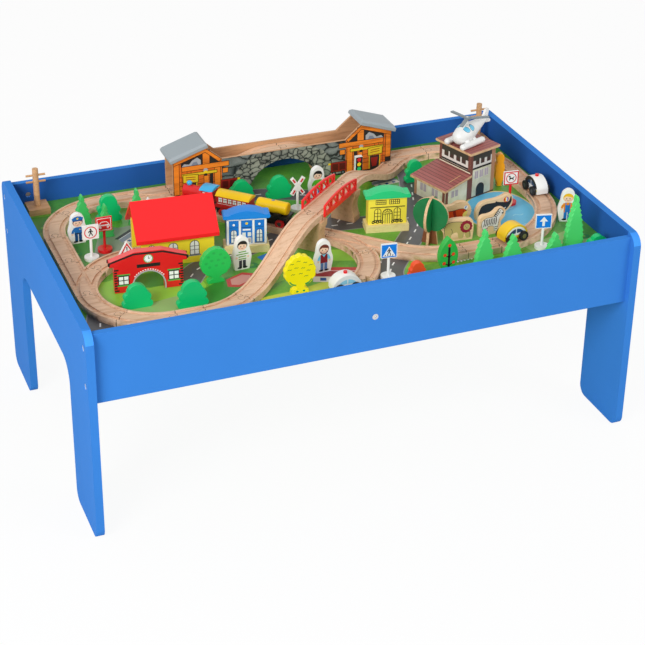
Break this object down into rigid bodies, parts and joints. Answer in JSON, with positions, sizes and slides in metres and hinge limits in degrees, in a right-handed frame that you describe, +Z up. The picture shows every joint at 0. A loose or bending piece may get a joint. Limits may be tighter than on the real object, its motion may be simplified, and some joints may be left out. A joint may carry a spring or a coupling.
{
  "type": "wooden train table",
  "caption": "Low painted play table with a rimmed printed tray, a wooden grooved track layout with ramps and bridge, and its toy train, cars, buildings, trees and figures.",
  "frame": {"origin": "on the floor under the middle of the table", "axes": "+X along the table's length to the right end, +Y to the back, +Z up"},
  "size_m": [1, 0.62, 0.4964],
  "materials": {
    "blue_paint": "satin painted fibreboard",
    "board_print": "printed fibreboard",
    "raw_wood": "bare softwood",
    "steel": "zinc plated",
    "beech": "bare beech, sanded",
    "red_paint": "gloss painted wood",
    "yellow_paint": "gloss painted wood",
    "orange_print": "printed plywood",
    "grey_paint": "painted wood",
    "cream_print": "printed plywood",
    "maroon_paint": "painted plywood",
    "pale_base": "painted wood",
    "house_paint": "painted wood",
    "sky_paint": "gloss painted wood",
    "mint_paint": "gloss painted wood",
    "light_green_paint": "gloss painted wood",
    "green_paint": "gloss painted wood",
    "leaf_paint": "painted wood",
    "dark_green_paint": "printed plywood",
    "white_print": "printed plywood",
    "white_paint": "gloss painted wood",
    "black_paint": "satin painted wood",
    "light_blue_paint": "gloss painted wood",
    "rotor_grey": "moulded"
  },
  "bodies": {
    "table": {"left_end_panel": "blue_paint", "right_end_panel": "blue_paint", "front_rail": "blue_paint", "back_rail": "blue_paint", "play_board": "board_print", "cross_bar": "raw_wood", "connector_bolts": "steel", "barrel_nuts": "steel", "locating_dowels": "raw_wood", "curve_tracks": "beech", "straight_tracks": "beech", "switch_tracks": "beech", "ramp_tracks": "beech", "bridge_deck": "beech", "bridge_guards": "red_paint", "bridge_piers": "beech", "shed_walls": "yellow_paint", "shed_roof": "red_paint", "station_arch": "red_paint", "mine_front_board": "orange_print", "mine_back_board": "raw_wood", "mine_roofs": "grey_paint", "castle_walls": "cream_print", "castle_roofs": "maroon_paint", "block_house_bases": "pale_base", "house_blocks": "house_paint", "blue_house_roof": "sky_paint", "green_house_roof": "mint_paint", "telegraph_poles": "raw_wood", "conifers": "light_green_paint", "bushes": "green_paint", "leaf_trees": "leaf_paint", "slot_tree": "dark_green_paint", "sign_stands": "white_paint", "sign_plates": "white_print", "play_figures": "white_print", "animal_boards": "beech"},
    "engine": {"engine_body": "red_paint", "engine_trim": "light_blue_paint"},
    "coach": {"coach_body": "red_paint", "coach_roof": "yellow_paint"},
    "tanker": {"tank_wagon": "black_paint", "tank_barrel": "yellow_paint"},
    "engine_front_axle": {"engine_front_wheels": "red_paint"},
    "engine_rear_axle": {"engine_rear_wheels": "red_paint"},
    "coach_front_axle": {"coach_front_wheels": "red_paint"},
    "coach_rear_axle": {"coach_rear_wheels": "red_paint"},
    "tanker_front_axle": {"tank_front_wheels": "red_paint"},
    "tanker_rear_axle": {"tank_rear_wheels": "red_paint"},
    "patrol": {"patrol_car": "white_paint"},
    "patrol_front_axle": {"patrol_front_wheels": "black_paint"},
    "patrol_rear_axle": {"patrol_rear_wheels": "black_paint"},
    "saloon": {"yellow_car": "yellow_paint"},
    "saloon_front_axle": {"yellow_car_front_wheels": "black_paint"},
    "saloon_rear_axle": {"yellow_car_rear_wheels": "black_paint"},
    "rescue": {"rescue_car": "white_paint"},
    "rescue_front_axle": {"rescue_front_wheels": "black_paint"},
    "rescue_rear_axle": {"rescue_rear_wheels": "black_paint"},
    "copter": {"helicopter": "white_paint"},
    "rotor": {"helicopter_rotor": "rotor_grey"}
  },
  "joints": [
    {"name": "engine_run", "type": "slide", "parent": "table", "child": "engine", "axis": [-0.7071, 0.7071, 0], "range_m": [-0.15, 0.02]},
    {"name": "coach_run", "type": "slide", "parent": "table", "child": "coach", "axis": [-0.7071, 0.7071, 0], "range_m": [-0.15, 0.02]},
    {"name": "tanker_run", "type": "slide", "parent": "table", "child": "tanker", "axis": [-0.7071, 0.7071, 0], "range_m": [-0.15, 0.02]},
    {"name": "engine_front_axle_spin", "type": "hinge", "parent": "engine", "child": "engine_front_axle", "pos_m": [-0.17912, 0.15346, 0.3628], "axis": [-0.7071, -0.7071, 0], "continuous": true},
    {"name": "engine_rear_axle_spin", "type": "hinge", "parent": "engine", "child": "engine_rear_axle", "pos_m": [-0.1579, 0.13225, 0.3628], "axis": [-0.7071, -0.7071, 0], "continuous": true},
    {"name": "coach_front_axle_spin", "type": "hinge", "parent": "coach", "child": "coach_front_axle", "pos_m": [-0.12891, 0.10326, 0.3628], "axis": [-0.7071, -0.7071, 0], "continuous": true},
    {"name": "coach_rear_axle_spin", "type": "hinge", "parent": "coach", "child": "coach_rear_axle", "pos_m": [-0.10204, 0.07639, 0.3628], "axis": [-0.7071, -0.7071, 0], "continuous": true},
    {"name": "tanker_front_axle_spin", "type": "hinge", "parent": "tanker", "child": "tanker_front_axle", "pos_m": [-0.07517, 0.04952, 0.3628], "axis": [-0.7071, -0.7071, 0], "continuous": true},
    {"name": "tanker_rear_axle_spin", "type": "hinge", "parent": "tanker", "child": "tanker_rear_axle", "pos_m": [-0.0483, 0.02265, 0.3628], "axis": [-0.7071, -0.7071, 0], "continuous": true},
    {"name": "patrol_roll", "type": "slide", "parent": "table", "child": "patrol", "axis": [0, -1, 0], "range_m": [-0.07, 0.01]},
    {"name": "patrol_front_axle_spin", "type": "hinge", "parent": "patrol", "child": "patrol_front_axle", "pos_m": [0.45, -0.0265, 0.3663], "axis": [1, 0, 0], "continuous": true},
    {"name": "patrol_rear_axle_spin", "type": "hinge", "parent": "patrol", "child": "patrol_rear_axle", "pos_m": [0.45, 0.0025, 0.3663], "axis": [1, 0, 0], "continuous": true},
    {"name": "saloon_roll", "type": "slide", "parent": "table", "child": "saloon", "axis": [0.9816, 0.1908, 0], "range_m": [-0.01, 0.01]},
    {"name": "saloon_front_axle_spin", "type": "hinge", "parent": "saloon", "child": "saloon_front_axle", "pos_m": [0.33072, -0.1712, 0.3663], "axis": [-0.1908, 0.9816, 0], "continuous": true},
    {"name": "saloon_rear_axle_spin", "type": "hinge", "parent": "saloon", "child": "saloon_rear_axle", "pos_m": [0.30225, -0.17674, 0.3663], "axis": [-0.1908, 0.9816, 0], "continuous": true},
    {"name": "rescue_roll", "type": "slide", "parent": "table", "child": "rescue", "axis": [1, 0, 0], "range_m": [-0.018, 0]},
    {"name": "rescue_front_axle_spin", "type": "hinge", "parent": "rescue", "child": "rescue_front_axle", "pos_m": [-0.0115, -0.224, 0.3543], "axis": [0, 1, 0], "continuous": true},
    {"name": "rescue_rear_axle_spin", "type": "hinge", "parent": "rescue", "child": "rescue_rear_axle", "pos_m": [-0.0405, -0.224, 0.3543], "axis": [0, 1, 0], "continuous": true},
    {"name": "copter_lift", "type": "slide", "parent": "table", "child": "copter", "axis": [0, 0, 1], "range_m": [0, 0.12]},
    {"name": "rotor_spin", "type": "hinge", "parent": "copter", "child": "rotor", "pos_m": [0.33568, 0.06456, 0.4928], "axis": [0, 0, 1], "continuous": true}
  ],
  "couplings": [
    {"joint": "coach_run", "follows": "engine_run", "ratio": 1},
    {"joint": "tanker_run", "follows": "engine_run", "ratio": 1},
    {"joint": "engine_front_axle_spin", "follows": "engine_run", "rad_per_m": 117.65},
    {"joint": "engine_rear_axle_spin", "follows": "engine_run", "rad_per_m": 117.65},
    {"joint": "coach_front_axle_spin", "follows": "engine_run", "rad_per_m": 117.65},
    {"joint": "coach_rear_axle_spin", "follows": "engine_run", "rad_per_m": 117.65},
    {"joint": "tanker_front_axle_spin", "follows": "engine_run", "rad_per_m": 117.65},
    {"joint": "tanker_rear_axle_spin", "follows": "engine_run", "rad_per_m": 117.65},
    {"joint": "patrol_front_axle_spin", "follows": "patrol_roll", "rad_per_m": 111.11},
    {"joint": "patrol_rear_axle_spin", "follows": "patrol_roll", "rad_per_m": 111.11},
    {"joint": "saloon_front_axle_spin", "follows": "saloon_roll", "rad_per_m": 111.11},
    {"joint": "saloon_rear_axle_spin", "follows": "saloon_roll", "rad_per_m": 111.11},
    {"joint": "rescue_front_axle_spin", "follows": "rescue_roll", "rad_per_m": 111.11},
    {"joint": "rescue_rear_axle_spin", "follows": "rescue_roll", "rad_per_m": 111.11}
  ]
}
